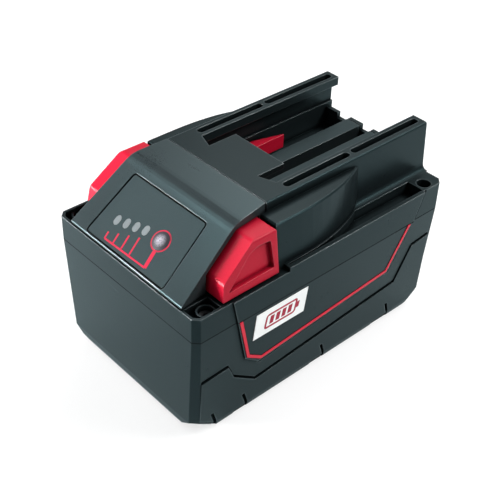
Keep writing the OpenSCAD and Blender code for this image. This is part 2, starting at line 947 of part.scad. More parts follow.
module gauge_button() {
    low = flange_top - flange_thick;
    crown_r = (dome_r * dome_r + dome_rise * dome_rise) / (2 * dome_rise);
    color(dome_grey)
    at_dome() {
        translate([0, 0, low])
        cylinder(r = dome_r, h = -low);
        rotate_extrude()
        intersection() {
            translate([0, dome_rise - crown_r])
            circle(crown_r, $fn = 240);
            translate([0, -seat_gap])
            square([dome_r, dome_rise + 2 * seat_gap]);
        }
        translate([0, 0, low])
        cylinder(r = dome_r + dome_flange, h = flange_thick);
        translate([0, 0, stem_end])
        cylinder(r = stem_r, h = stem_l + seat_gap);
    }
}

module switch_rubber() {
    color(part_black)
    at_dome()
    translate([0, 0, stem_end - rubber_l])
    cylinder(r = stem_r, h = rubber_l);
}

module tact_switch() {
    color(part_black)
    at_dome()
    translate([-switch_w / 2, -switch_w / 2, gauge_board_z])
    cube([switch_w, switch_w, switch_h]);
}

module gauge_board() {
    color(board_green)
    on_gauge_face()
    difference() {
        block([gauge_board_x0, gauge_board_s0, gauge_board_z - gauge_board_t],
            [gauge_board_x1, gauge_board_s1, gauge_board_z]);
        for (post = gauge_posts)
            translate([post[0], post[1], gauge_board_z - gauge_board_t - bite])
            cylinder(r = gauge_screw_r + pin_gap, h = gauge_board_t + 2 * bite);
    }
}

module gauge_leds() {
    color(badge_white)
    on_gauge_face()
    for (i = [0 : 3])
        translate([window_x + i * window_pitch, window_s + i * window_rise, gauge_board_z + led_h / 2])
        cube([led_w, led_w, led_h], center = true);
}

module gauge_screws() {
    color(metal)
    on_gauge_face()
    for (post = gauge_posts)
        translate([post[0], post[1], gauge_board_z - gauge_board_t]) {
            translate([0, 0, -gauge_head_h])
            cylinder(r = gauge_head_r, h = gauge_head_h);
            cylinder(r = gauge_screw_r, h = gauge_board_t + gauge_screw_l);
        }
}

// Release latches

module latch() {
    lean_y = button_y1 - button_top_l;
    front_z = button_z + button_front_h;
    difference() {
        union() {
            intersection() {
                along_x(button_in, side_x)
                polygon(rounded([[button_y0, button_z], [button_y1, button_z], [button_y1, button_top],
                    [lean_y, button_top], [button_y0 + bite, front_z]], [0, 0, 1, 1.5, 1.2]));
                along_y(button_y0 - bite, button_y1 + bite)
                polygon(rounded([[button_in, button_z], [button_out, button_z],
                    [button_out - button_lean, button_top], [button_in, button_top]], [0, 0, 1.2, 0]));
            }
            block([carrier_in, carrier_y0, button_z], [button_in + bite, carrier_y1, button_z + carrier_h]);
            block([arm_in, carrier_y0 + bite, arm_z], [arm_out, hook_root + bite, arm_z + hook_h]);
            upwards(arm_z, arm_z + hook_h)
            polygon([[arm_in, hook_root], [arm_out, hook_root], [arm_out, hook_y],
                [arm_in + hook_tip, hook_y + hook_nose], [arm_in, hook_y + hook_nose]]);
        }
        intersection() {
            along_x(button_in, side_x)
            polygon(rounded([[button_y0 + dish_edge, button_z + dish_edge],
                [button_y1 - 2.2, button_z + dish_edge + 0.6], [button_y1 - 3.2, button_top - dish_edge - 0.6],
                [lean_y - 0.4, button_top - dish_edge]], [0.8, 1, 1, 5]));
            along_y(button_y0, button_y1)
            polygon([[button_out - dish_d, button_z], [side_x, button_z], [side_x, button_top],
                [button_out - button_lean - dish_d, button_top]]);
        }
    }
}

module right_latch() {
    color(button_red)
    latch();
}

module left_latch() {
    color(button_red)
    mirror([1, 0, 0])
    latch();
}

module latch_spring() {
    translate([spring_x, spring_y, spring_z])
    rotate([0, 90, 0])
    difference() {
        cylinder(r = spring_r, h = spring_l);
        translate([0, 0, -bite])
        cylinder(r = spring_r - spring_wire, h = spring_l + 2 * bite);
    }
}

module right_latch_spring() {
    color(metal)
    latch_spring();
}

module left_latch_spring() {
    color(metal)
    mirror([1, 0, 0])
    latch_spring();
}

// Terminal block and terminals

module terminal_block() {
    half = slot_out;
    wide = half + block_flange;
    flange_top_z = deck_z - seat_gap;
    flange_low = flange_top_z - block_flange_t;
    color(part_black)
    difference() {
        union() {
            block([-half, block_y0, flange_low], [half, block_y1, block_floor]);
            block([-wide, block_y0 - block_flange, flange_low], [wide, block_y1, flange_top_z]);
            both_sides()
            block([rib_in, block_y0, block_floor - bite], [rib_out, block_y1, rib_z]);
            both_sides()
            for (y = [block_y0, block_y1 - 3 * block_leg])
                block([half - block_leg, y, board_top], [half, y + block_leg, flange_low + bite]);
        }
        both_sides()
        fork_tail(fork_x, fork_y0, seat_gap);
        for (i = [0, 1])
            fork_tail(0, fork_y0 + i * signal_step, seat_gap);
    }
}

module fork_tail(x, y, ease) {
    y0 = y + tail_back;
    block([x - tail_w / 2 - ease, y0 - ease, board_top - (ease > 0 ? bite : 0)],
        [x + tail_w / 2 + ease, y0 + tail_l + ease, block_floor + (ease > 0 ? bite : fork_t / 2)]);
}

module fork(x, y, length, height) {
    fork_tail(x, y, 0);
    block([x - fork_half, y, block_floor], [x + fork_half, y + length, block_floor + fork_t]);
    block([x - fork_half, y, block_floor], [x - fork_half + fork_t, y + length, block_floor + height]);
    block([x + fork_half - fork_t, y, block_floor], [x + fork_half, y + length, block_floor + height]);
}

module positive_terminal() {
    color(copper)
    fork(fork_x, fork_y0, fork_l, fork_h);
}

module negative_terminal() {
    color(copper)
    mirror([1, 0, 0])
    fork(fork_x, fork_y0, fork_l, fork_h);
}

module signal_terminals() {
    color(copper)
    for (i = [0, 1])
        fork(0, fork_y0 + i * signal_step, signal_l, signal_h);
}

// Control board

module control_board() {
    color(board_green)
    difference() {
        block([-board_w / 2, -board_l / 2, board_z], [board_w / 2, board_l / 2, board_top]);
        at_corners(post_x, post_y)
        translate([0, 0, board_z - bite])
        cylinder(r = board_screw_r + pin_gap, h = board_t + 2 * bite);
    }
}

module power_transistors() {
    color(part_black)
    for (i = [0 : 3])
        translate([(i - 1.5) * transistor_step - transistor[0] / 2, transistor_y, board_top])
        cube(transistor);
}

module board_parts() {
    color(part_black) {
        translate([-chip[0] / 2, chip_y, board_top])
        cube(chip);
        translate([-coil[0] / 2, coil_y, board_top])
        cube(coil);
        both_sides()
        translate([can_x, can_y, board_top])
        cylinder(r = can_r, h = can_h);
        translate([-can_x - plug[0] / 2, plug_y, board_top])
        cube(plug);
    }
}

module board_screws() {
    color(metal)
    at_corners(post_x, post_y)
    translate([0, 0, board_top]) {
        cylinder(r = board_head_r, h = board_head_h);
        translate([0, 0, -board_t - board_screw_l])
        cylinder(r = board_screw_r, h = board_t + board_screw_l);
    }
}

// Cells and what holds them

function column_y(c) = (c - (columns - 1) / 2) * pitch;

function layer_z(l) = cell_z + l * pitch;

module cell(c, l) {
    cap_r = 4;
    cap_h = 0.9;
    face = c % 2 == 0 ? 1 : -1;
    color(cell_blue)
    translate([0, column_y(c), layer_z(l)])
    rotate([0, face * 90, 0])
    translate([0, 0, -cell_l / 2]) {
        cylinder(r = cell_d / 2, h = cell_l - cap_h);
        cylinder(r = cap_r, h = cell_l);
    }
}

module cell_01() {
    cell(0, 0);
}

module cell_02() {
    cell(1, 0);
}

module cell_03() {
    cell(2, 0);
}

module cell_04() {
    cell(3, 0);
}

module cell_05() {
    cell(4, 0);
}

module cell_06() {
    cell(5, 0);
}

module cell_07() {
    cell(6, 0);
}

module cell_08() {
    cell(0, 1);
}

module cell_09() {
    cell(1, 1);
}

module cell_10() {
    cell(2, 1);
}

module cell_11() {
    cell(3, 1);
}

module cell_12() {
    cell(4, 1);
}

module cell_13() {
    cell(5, 1);
}

module cell_14() {
    cell(6, 1);
}

// First and last column of each strip on the right and the left side
right_strips = [[0, 0], [1, 2], [3, 4], [5, 6]];
left_strips = [[0, 1], [2, 3], [4, 5], [6, 6]];

function riser_of(ends) = ends[0] == ends[1] ? end_riser_w : riser_w;

// Flat outline of a strip with its riser, along the pack and upwards
module strip_outline(ends, ease, top) {
    riser = riser_of(ends);
    low = layer_z(0) - strip_w / 2 - ease;
    high = layer_z(layers - 1) + strip_w / 2 + ease;
    y0 = column_y(ends[0]) - strip_w / 2 - ease;
    y1 = column_y(ends[1]) + strip_w / 2 + ease;
    mid = (y0 + y1) / 2;
    translate([y0, low])
    square([y1 - y0, high - low]);
    translate([mid - riser / 2 - ease, low])
    square([riser + 2 * ease, top - low]);
}

module strip(ends) {
    riser = riser_of(ends);
    mid = (column_y(ends[0]) + column_y(ends[1])) / 2;
    along_x(cell_l / 2, cell_l / 2 + strip_t)
    strip_outline(ends, 0, board_top + strip_t);
    block([board_w / 2 - riser_tab, mid - riser / 2, board_top],
        [cell_l / 2 + strip_t, mid + riser / 2, board_top + strip_t]);
}

module bus_strip_1() {
    color(metal)
    strip(right_strips[0]);
}

module bus_strip_2() {
    color(metal)
    strip(right_strips[1]);
}

module bus_strip_3() {
    color(metal)
    strip(right_strips[2]);
}

module bus_strip_4() {
    color(metal)
    strip(right_strips[3]);
}

module bus_strip_5() {
    color(metal)
    mirror([1, 0, 0])
    strip(left_strips[0]);
}

module bus_strip_6() {
    color(metal)
    mirror([1, 0, 0])
    strip(left_strips[1]);
}

module bus_strip_7() {
    color(metal)
    mirror([1, 0, 0])
    strip(left_strips[2]);
}

module bus_strip_8() {
    color(metal)
    mirror([1, 0, 0])
    strip(left_strips[3]);
}

// End view of the cell block, along the pack and upwards
module holder_outline() {
    half = pack_l / 2;
    r = holder_round;
    polygon(rounded([[-half, holder_z], [half, holder_z], [half, holder_top], [-half, holder_top]],
        [r, r, r, r]));
}

module cell_holder(strips) {
    inner = cell_l / 2 - holder_depth;
    outer = cell_l / 2 + holder_wall;
    difference() {
        union() {
            along_x(inner, outer)
            holder_outline();
            for (s = [-1, 1])
                translate([post_x, s * post_y, holder_top - holder_wall])
                cylinder(r = post_r, h = board_lift + holder_wall);
        }
        for (c = [0 : columns - 1])
            for (l = [0 : layers - 1])
                translate([inner - bite, column_y(c), layer_z(l)])
                rotate([0, 90, 0])
                cylinder(r = cell_d / 2 + pin_gap, h = holder_depth + bite);
        for (ends = strips)
            along_x(cell_l / 2, outer + bite)
            strip_outline(ends, seat_gap, holder_top + bite);
        for (s = [-1, 1])
            translate([post_x, s * post_y, board_z - board_screw_l - bite])
            cylinder(r = board_screw_r + pin_gap, h = board_screw_l + 2 * bite);
    }
}

module right_cell_holder() {
    color(holder_grey)
    cell_holder(right_strips);
}

module left_cell_holder() {
    color(holder_grey)
    mirror([1, 0, 0])
    cell_holder(left_strips);
}

module insulator() {
    x = cell_l / 2 + holder_wall;
    along_x(x, x + sheet_t)
    holder_outline();
}

module right_insulator() {
    color(sheet_white)
    insulator();
}

module left_insulator() {
    color(sheet_white)
    mirror([1, 0, 0])
    insulator();
}

module bottom_pad() {
    half = pack_l / 2 - holder_round;
    color(foam_grey)
    block([-cell_l / 2, -half, wall], [cell_l / 2, half, holder_z]);
}

// Bead in the valley between two cells of the upper layer
module thermistor() {
    bead_r = 1.5;
    bead_l = 8;
    reach = cell_d / 2 + bead_r + 0.1;
    color(part_black)
    translate([-bead_l / 2, pitch / 2, layer_z(layers - 1) + sqrt(reach * reach - pitch * pitch / 4)])
    rotate([0, 90, 0])
    cylinder(r = bead_r, h = bead_l);
}

// Case screws and side marks

module case_screws() {
    color(metal)
    at_corners(screw_x, screw_y)
    translate([0, 0, screw_seat_z])
    difference() {
        union() {
            cylinder(r = screw_head_r, h = screw_head_h);
            translate([0, 0, -screw_l + bite])
            cylinder(r = screw_r, h = screw_l);
        }
        translate([0, 0, screw_head_h - drive_d])
        cylinder(r = drive_r, h = drive_d + bite, $fn = 6);
    }
}

module badge() {
    lean = 1.1;
    on_lower_side(label_raise, label_raise + badge_t)
    polygon([[badge_y, badge_z], [badge_y + badge_l - lean, badge_z],
        [badge_y + badge_l, badge_z + badge_h], [badge_y + lean, badge_z + badge_h]]);
}

module right_badge() {
    color(badge_white)
    badge();
}

module left_badge() {
    color(badge_white)
    mirror([1, 0, 0])
    badge();
}

module stripe() {
    on_lower_side(label_raise, label_raise + badge_t)
    difference() {
        polygon(stripe_points);
        polygon(inner_line(stripe_points, stripe_w));
    }
}

module right_stripe() {
    color(mark_red)
    stripe();
}

module left_stripe() {
    color(mark_red)
    mirror([1, 0, 0])
    stripe();
}

lower_case();
upper_case();
gauge_cover();
gauge_overlay();
led_lens();
gauge_button();
switch_rubber();
tact_switch();
gauge_board();
gauge_leds();
gauge_screws();
left_latch();
right_latch();
left_latch_spring();
right_latch_spring();
terminal_block();
positive_terminal();
negative_terminal();
signal_terminals();
control_board();
power_transistors();
board_parts();
board_screws();
left_cell_holder();
right_cell_holder();
cell_01();
cell_02();
cell_03();
cell_04();
cell_05();
cell_06();
cell_07();
cell_08();
cell_09();
cell_10();
cell_11();
cell_12();
cell_13();
cell_14();
bus_strip_1();
bus_strip_2();
bus_strip_3();
bus_strip_4();
bus_strip_5();
bus_strip_6();
bus_strip_7();
bus_strip_8();
left_insulator();
right_insulator();
bottom_pad();
thermistor();
case_screws();
left_badge();
right_badge();
left_stripe();
right_stripe();
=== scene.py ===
import json
import math

import bmesh
import bpy
from mathutils import Matrix, Vector


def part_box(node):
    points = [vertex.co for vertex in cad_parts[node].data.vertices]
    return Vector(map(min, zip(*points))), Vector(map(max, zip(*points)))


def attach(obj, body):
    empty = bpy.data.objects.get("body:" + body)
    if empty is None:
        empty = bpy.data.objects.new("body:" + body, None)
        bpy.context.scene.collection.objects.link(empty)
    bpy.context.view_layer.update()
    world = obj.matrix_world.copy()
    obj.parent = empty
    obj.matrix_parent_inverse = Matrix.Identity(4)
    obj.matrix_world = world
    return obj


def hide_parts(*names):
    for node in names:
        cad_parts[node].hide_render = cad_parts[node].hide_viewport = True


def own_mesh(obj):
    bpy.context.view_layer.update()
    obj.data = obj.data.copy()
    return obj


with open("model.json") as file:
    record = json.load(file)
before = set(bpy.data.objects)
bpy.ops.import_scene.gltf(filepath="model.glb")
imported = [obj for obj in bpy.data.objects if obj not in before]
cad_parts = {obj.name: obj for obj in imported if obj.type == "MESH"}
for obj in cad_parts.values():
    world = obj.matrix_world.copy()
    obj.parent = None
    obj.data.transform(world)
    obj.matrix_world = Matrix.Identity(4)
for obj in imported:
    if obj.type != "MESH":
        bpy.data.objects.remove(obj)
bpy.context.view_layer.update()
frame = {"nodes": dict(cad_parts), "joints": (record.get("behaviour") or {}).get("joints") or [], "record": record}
nodes = frame["nodes"]
MM = 0.001
SIDES = ((1.0, "right"), (-1.0, "left"))


# The gauge face, measured in millimetres: x across, y up the slope, z outwards

press = next(j for j in frame["joints"] if j["name"] == "gauge_button_press")
PRESS_AXIS = Vector(press["axis"]).normalized()
FACE_UP = Vector((0.0, -PRESS_AXIS.z, PRESS_AXIS.y))
FACE_TURN = Matrix((Vector((1.0, 0.0, 0.0)), FACE_UP, -PRESS_AXIS)).transposed().to_4x4()
FOOT_RISE = 1.2 * MM
cover_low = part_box("gauge_cover")[0]
face_foot = Matrix.Translation((0.0, cover_low.y, cover_low.z + FOOT_RISE))
GAUGE_FACE = face_foot @ FACE_TURN @ Matrix.Scale(MM, 4)
DOME_PLACE = (8.3, 15.0)


# Node trees

class Sock:
    """An output socket. Arithmetic on it adds Math nodes to its tree."""

    def __init__(self, graph, socket):
        self.graph = graph
        self.socket = socket

    def math(self, operation, a, b):
        return self.graph.add("ShaderNodeMath", {0: a, 1: b}, {"operation": operation})

    def __add__(self, other):
        return self.math("ADD", self, other)

    def __sub__(self, other):
        return self.math("SUBTRACT", self, other)

    def __rsub__(self, other):
        return self.math("SUBTRACT", other, self)

    def __mul__(self, other):
        return self.math("MULTIPLY", self, other)

    __radd__ = __add__
    __rmul__ = __mul__


class Graph:
    """A node tree. add() makes a node from its type, its sockets' values or links and its settings."""

    def __init__(self, tree):
        self.tree = tree

    def add(self, kind, sockets=None, settings=None, out=0):
        node = self.tree.nodes.new(kind)
        for name, value in (settings or {}).items():
            setattr(node, name, value)
        for key, value in (sockets or {}).items():
            if isinstance(value, Sock):
                self.tree.links.new(value.socket, node.inputs[key])
            else:
                node.inputs[key].default_value = value
        return Sock(self, node.outputs[out]) if len(node.outputs) else node

    def place(self):
        """Where a point lies on its piece."""
        return self.add("ShaderNodeTexCoord", out="Object")

    def mix(self, factor, a, b):
        return self.add("ShaderNodeMix", {0: factor, 6: a, 7: b}, {"data_type": "RGBA"}, out=2)

    def layers(self, share, under, over):
        return self.add("ShaderNodeMixShader", {0: share, 1: under, 2: over})

    def noise(self, at, scale, detail=2.0):
        return self.add("ShaderNodeTexNoise", {"Vector": at, "Scale": scale, "Detail": detail})

    def ramp(self, value, low, high):
        return self.add("ShaderNodeMapRange", {0: value, 1: low, 2: high, 3: 0.0, 4: 1.0})

    def xyz(self, **sockets):
        return self.add("ShaderNodeCombineXYZ", sockets)


def rgba(colour, gain=1.0):
    """A colour made paler or darker, with full cover."""
    return tuple(min(c * gain, 1.0) for c in colour) + (1.0,)


def new_material(name):
    material = bpy.data.materials.new(name)
    material.use_nodes = True
    material.node_tree.nodes.clear()
    return material, Graph(material.node_tree)


def surface(graph, **sockets):
    """A Principled shader. Its sockets are named in small letters, as in base_color."""
    names = {key.replace("_", " ").title().replace("Ior", "IOR"): value
             for key, value in sockets.items()}
    return graph.add("ShaderNodeBsdfPrincipled", names)


def close_material(graph, shader):
    graph.add("ShaderNodeOutputMaterial", {"Surface": shader})


# Finishes. Noise scales count per metre; grain, edge and the reach of painted shade are in millimetres

FINE_DETAIL = 3.0
FEELER_RAYS = 6
FLOW_SCALE, SPECK_SCALE = 38.0, 2400.0
FLOW_GLOSS, SPECK_GLOSS, MARK_GLOSS, GLOSS_SHIFT = 0.08, 0.06, 0.025, 0.05
SPECK_RANGE, SPECK_SHARE, SPECK_GAIN = (0.45, 0.8), 0.3, 1.5
GRAIN_STRENGTH = 0.5
MARK_TURN, MARK_SCALE, MARK_RANGE = (0.3, 0.5, 0.6), (60.0, 420.0, 420.0), (0.58, 0.78)
# Edges: a paler, glossier layer on convex edges, partly wear and partly a painted highlight
WORN_SHEEN_REACH, WORN_SHEEN_RANGE, WORN_SHEEN_PATCHES = 1.3, (0.15, 0.45), (0.2, 0.6)
WORN_SHEEN_ROUGH, WORN_SHEEN_SHINE, WORN_SHEEN_SHARE = 0.25, 0.7, 0.75
# Painted shade: a darker matte layer in hollows and next to other parts
PAINTED_SHADE_GAIN, PAINTED_SHADE_RANGE, PAINTED_SHADE_SHARE = 0.35, (0.04, 0.36), 0.85


def moulded(name, colour, rough, grain=0.03, cloud=0.1, shine=0.5, cast=(1.0, 1.0, 1.0),
            edge=0.0, worn_sheen_gain=1.8, painted_shade_reach=0.0):
    """Moulded plastic: grain, flow clouds, handling marks, soft edges made paler by wear and a painted highlight,
    and hollows darkened with painted shade.
    """
    material, g = new_material(name)
    at = g.place()
    flow = g.noise(at, FLOW_SCALE, FINE_DETAIL)
    speck = g.noise(at, SPECK_SCALE)
    stretched = g.add("ShaderNodeMapping", {
        "Vector": at, "Rotation": MARK_TURN, "Scale": MARK_SCALE})
    marks = g.ramp(g.noise(stretched, 1.0, FINE_DETAIL), *MARK_RANGE)
    tone = g.mix(flow, rgba(colour, 1.0 - cloud), rgba(colour, 1.0 + cloud))
    tone = g.mix(g.ramp(speck, *SPECK_RANGE) * SPECK_SHARE, tone, rgba(colour, SPECK_GAIN))
    gloss = rough - GLOSS_SHIFT + flow * FLOW_GLOSS + speck * SPECK_GLOSS - marks * MARK_GLOSS
    relief = {"Strength": GRAIN_STRENGTH, "Distance": grain * MM, "Height": speck}
    if edge:
        relief["Normal"] = g.add("ShaderNodeBevel", {"Radius": edge * MM}, {"samples": FEELER_RAYS})
        # Mask of convex edges in patches: wear and a painted highlight
        buried = g.add("ShaderNodeAmbientOcclusion", {"Distance": WORN_SHEEN_REACH * edge * MM},
                       {"inside": True, "only_local": True, "samples": FEELER_RAYS}, out="AO")
        wear_and_sheen = g.ramp(1.0 - buried, *WORN_SHEEN_RANGE) * g.ramp(flow, *WORN_SHEEN_PATCHES)
    normal = g.add("ShaderNodeBump", relief)
    shader = surface(g, base_color=tone, roughness=gloss, normal=normal,
                     specular_ior_level=shine, specular_tint=rgba(cast))
    if edge:
        # The paler edge layer is wear and a painted highlight
        worn_sheen_layer = surface(g, base_color=rgba(colour, worn_sheen_gain), roughness=WORN_SHEEN_ROUGH, normal=normal,
                           specular_ior_level=WORN_SHEEN_SHINE)
        shader = g.layers(wear_and_sheen * WORN_SHEEN_SHARE, shader, worn_sheen_layer)
    # Painted shade: colour darkened in hollows and between parts, where shade falls
    if painted_shade_reach:
        clear = g.add("ShaderNodeAmbientOcclusion", {"Distance": painted_shade_reach * MM},
                      {"samples": FEELER_RAYS}, out="AO")
        painted_shade_layer = g.add("ShaderNodeBsdfDiffuse", {"Color": rgba(colour, PAINTED_SHADE_GAIN)})
        shader = g.layers(g.ramp(1.0 - clear, *PAINTED_SHADE_RANGE) * PAINTED_SHADE_SHARE, shader, painted_shade_layer)
    close_material(g, shader)
    return material


LINE_SCALE, LINE_STRENGTH, LINE_DEEP, LINE_GLOSS = (3000.0, 200.0, 3000.0), 0.3, 0.02 * MM, 0.12
TARNISH_SCALE, TARNISH_RANGE, TARNISH_GAIN = 160.0, (0.4, 0.75), 0.72


def metal(name, colour, rough):
    """Plated or drawn metal: fine lines along the pack and a little tarnish."""
    material, g = new_material(name)
    at = g.place()
    lines = g.noise(g.add("ShaderNodeMapping", {"Vector": at, "Scale": LINE_SCALE}), 1.0)
    tarnish = g.ramp(g.noise(at, TARNISH_SCALE, FINE_DETAIL), *TARNISH_RANGE)
    tone = g.mix(tarnish, rgba(colour), rgba(colour, TARNISH_GAIN))
    normal = g.add("ShaderNodeBump", {
        "Strength": LINE_STRENGTH, "Distance": LINE_DEEP, "Height": lines})
    close_material(g, surface(g, base_color=tone, roughness=rough + lines * LINE_GLOSS,
                              metallic=1.0, normal=normal))
    return material


DOT_SCALE, DOT_STRENGTH, DOT_DEEP, DOT_GLOSS = 1800.0, 0.2, 0.01 * MM, 0.08
AGE_SCALE, AGE_RANGE, AGE_SHARE, AGE_GAIN = 70.0, (0.35, 0.75), 0.6, 0.92


def film(name, colour, rough=0.35, shine=0.5):
    """Printed film: even colour with a faint dot and soft sheen."""
    material, g = new_material(name)
    at = g.place()
    dots = g.noise(at, DOT_SCALE, 1.0)
    age = g.ramp(g.noise(at, AGE_SCALE), *AGE_RANGE) * AGE_SHARE
    tone = g.mix(age, rgba(colour), rgba(colour, AGE_GAIN))
    normal = g.add("ShaderNodeBump", {
        "Strength": DOT_STRENGTH, "Distance": DOT_DEEP, "Height": dots})
    close_material(g, surface(g, base_color=tone, roughness=rough + dots * DOT_GLOSS,
                              normal=normal, specular_ior_level=shine))
    return material


FACET_SCALE, FACET_RANGE, FACET_GLOSS, FACET_SHARE = 1500.0, (0.1, 0.6), 0.1, 0.7
PAINTED_GLOW_RANGE = (0.6 * MM, 3.0 * MM)
DOME_ROUGH, DOME_SHINE = 0.5, 0.12


def dome_finish(name, centre, colour, glow_colour):
    """Clear grey dome: a painted glow with painted glints in the middle, in small facets."""
    material, g = new_material(name)
    at = g.place()
    reach = g.add("ShaderNodeVectorMath", {0: at, 1: tuple(centre)},
                  {"operation": "DISTANCE"}, out="Value")
    facets = g.add("ShaderNodeTexVoronoi", {"Vector": at, "Scale": FACET_SCALE}, out="Distance")
    painted_glints = 1.0 - FACET_SHARE + g.ramp(facets, *FACET_RANGE) * FACET_SHARE
    # Painted glow: the base colour paler towards the middle, broken into painted glints
    painted_glow = (1.0 - g.ramp(reach, *PAINTED_GLOW_RANGE)) * painted_glints
    close_material(g, surface(g, base_color=g.mix(painted_glow, rgba(colour), rgba(glow_colour)),
                              roughness=DOME_ROUGH + facets * FACET_GLOSS,
                              specular_ior_level=DOME_SHINE))
    return material


PATH_SCALE, PATH_GAP, PATH_SHARE, PATH_GAIN = 180.0, 0.03, 0.5, 1.9
SCUFF_SCALE, SCUFF_SHARE, SCUFF_GLOSS = 120.0, 0.2, 0.1
BOARD_ROUGH, COAT, COAT_ROUGH = 0.3, 0.3, 0.15


def board_finish(name, colour):
    """Coated circuit board: copper paths shine through the coat."""
    material, g = new_material(name)
    at = g.place()
    paths = g.add("ShaderNodeTexBrick", {
        "Vector": at, "Scale": PATH_SCALE, "Mortar Size": PATH_GAP}, out="Fac")
    scuffs = g.noise(at, SCUFF_SCALE)
    tone = g.mix(paths * PATH_SHARE + scuffs * SCUFF_SHARE, rgba(colour), rgba(colour, PATH_GAIN))
    close_material(g, surface(g, base_color=tone, roughness=BOARD_ROUGH + scuffs * SCUFF_GLOSS,
                              coat_weight=COAT, coat_roughness=COAT_ROUGH))
    return material


CHARCOAL = (0.006, 0.0086, 0.0094)
COVER = (0.019, 0.0235, 0.025)
SLATE = (0.45, 0.93, 1.0)
RED = (0.37, 0.005, 0.021)
PRINT = (0.34, 0.012, 0.036)
DOME_GLASS, DOME_GLOW_COLOUR, DOME_GLOW_HIGH = (0.03, 0.028, 0.034), (0.3, 0.28, 0.32), 0.6
SOFT_EDGE, CRISP_EDGE = 0.5, 0.3
# The edge gain makes edges paler: wear and a painted highlight
SHELL = {"cast": SLATE, "worn_sheen_gain": 6.0, "painted_shade_reach": 2.5}

# The hollow reach, in millimetres, sets how far painted shade darkens hollows
looks = {
    "case_black": moulded("case_black_look", CHARCOAL, 0.28, shine=0.11, edge=SOFT_EDGE, **SHELL),
    "deck_black": moulded("deck_black_look", CHARCOAL, 0.28, shine=0.1, edge=SOFT_EDGE, **SHELL),
    "cover_grey": moulded("cover_grey_look", COVER, 0.27, grain=0.05, shine=0.24, cast=SLATE,
                          edge=SOFT_EDGE, worn_sheen_gain=2.5, painted_shade_reach=1.5),
    "overlay_grey": moulded("overlay_grey_look", COVER, 0.4, grain=0.012, shine=0.22, cast=SLATE),
    "lens_grey": moulded("lens_grey_look", (0.12, 0.135, 0.14), 0.4, cloud=0.3, shine=0.2),
    "dome_grey": dome_finish("dome_grey_look", GAUGE_FACE @ Vector((*DOME_PLACE, DOME_GLOW_HIGH)),
                             DOME_GLASS, DOME_GLOW_COLOUR),
    "rubber_black": moulded("rubber_black_look", (0.002, 0.002, 0.0022), 0.8, shine=0.03),
    "part_black": moulded("part_black_look", (0.016, 0.016, 0.018), 0.5),
    "board_green": board_finish("board_green_look", (0.01, 0.07, 0.035)),
    "led_white": moulded("led_white_look", (0.75, 0.75, 0.68), 0.3, cloud=0.03),
    "screw_steel": metal("screw_steel_look", (0.1, 0.1, 0.105), 0.38),
    "latch_red": moulded("latch_red_look", RED, 0.32, grain=0.012, cloud=0.05, shine=0.1,
                         edge=SOFT_EDGE, worn_sheen_gain=1.2, painted_shade_reach=2.0),
    "spring_steel": metal("spring_steel_look", (0.5, 0.5, 0.51), 0.28),
    "block_black": moulded("block_black_look", (0.007, 0.009, 0.0098), 0.4, shine=0.2,
                           edge=CRISP_EDGE, **SHELL),
    "contact_copper": metal("contact_copper_look", (0.72, 0.43, 0.2), 0.3),
    "holder_grey": moulded("holder_grey_look", (0.1, 0.105, 0.11), 0.5),
    "cell_sleeve": moulded("cell_sleeve_look", (0.03, 0.16, 0.24), 0.3, grain=0.006),
    "strip_nickel": metal("strip_nickel_look", (0.6, 0.58, 0.54), 0.32),
    "sheet_white": film("sheet_white_look", (0.66, 0.66, 0.6), 0.6),
    "foam_grey": moulded("foam_grey_look", (0.05, 0.055, 0.055), 0.8, grain=0.2),
    "badge_white": film("badge_white_look", (0.88, 0.88, 0.87)),
    "stripe_red": film("stripe_red_look", (0.6, 0.012, 0.035), shine=0.15),
}
print_red = film("print_red_look", PRINT, shine=0.12)

slot_of = {part["node"]: part["material_slot"] for part in frame["record"]["subparts"]}
for name, cad in nodes.items():
    cad.data.materials.clear()
    cad.data.materials.append(looks["deck_black" if name == "upper_case" else slot_of[name]])


# Making meshes

def add_object(name, data):
    piece = bpy.data.objects.new(name, data)
    bpy.context.scene.collection.objects.link(piece)
    return piece


def bake(piece):
    """Turns a piece's modifiers into its plain mesh."""
    graph = bpy.context.evaluated_depsgraph_get()
    mesh = bpy.data.meshes.new_from_object(piece.evaluated_get(graph), depsgraph=graph)
    piece.modifiers.clear()
    old, piece.data = piece.data, mesh
    mesh.name = piece.name
    bpy.data.meshes.remove(old)


def settle(piece, body, slot, *replaced):
    """Gives a piece its body and hides the CAD nodes that it stands for. The slot is not used."""
    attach(piece, body)
    if replaced:
        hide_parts(*replaced)
    return piece


def finish_form(name, form, material, smooth=True):
    """Turns a bmesh into a piece with faces that point outwards."""
    bmesh.ops.recalc_face_normals(form, faces=form.faces)
    mesh = bpy.data.meshes.new(name)
    for face in form.faces:
        face.smooth = smooth
    form.to_mesh(mesh)
    form.free()
    mesh.materials.append(material)
    return add_object(name, mesh)


def join_rings(form, first, second):
    """A band of faces between two rings of as many points each."""
    count = len(first)
    for i in range(count):
        j = (i + 1) % count
        form.faces.new((first[i], first[j], second[j], second[i]))


def loft(form, rings):
    """A closed skin over rings of as many points each."""
    loops = [[form.verts.new(point) for point in ring] for ring in rings]
    for first, second in zip(loops, loops[1:]):
        join_rings(form, first, second)
    form.faces.new(loops[0][::-1])
    form.faces.new(loops[-1])


def slab(form, outline, low, high):
    """A flat prism over an outline."""
    loft(form, [[(x, y, z) for x, y in outline] for z in (low, high)])


def hoop(form, outer, inner, low, high):
    """A flat band between two outlines of as many points each."""
    rings = [[form.verts.new((x, y, z)) for x, y in line]
             for line, z in ((outer, low), (outer, high), (inner, high), (inner, low))]
    for first, second in zip(rings, rings[1:] + rings[:1]):
        join_rings(form, first, second)


def bar(start, end, width):
    """The outline of a straight printed line."""
    a, b = Vector(start), Vector(end)
    across = (b - a).orthogonal().normalized() * width / 2
    return [a + across, a - across, b - across, b + across]


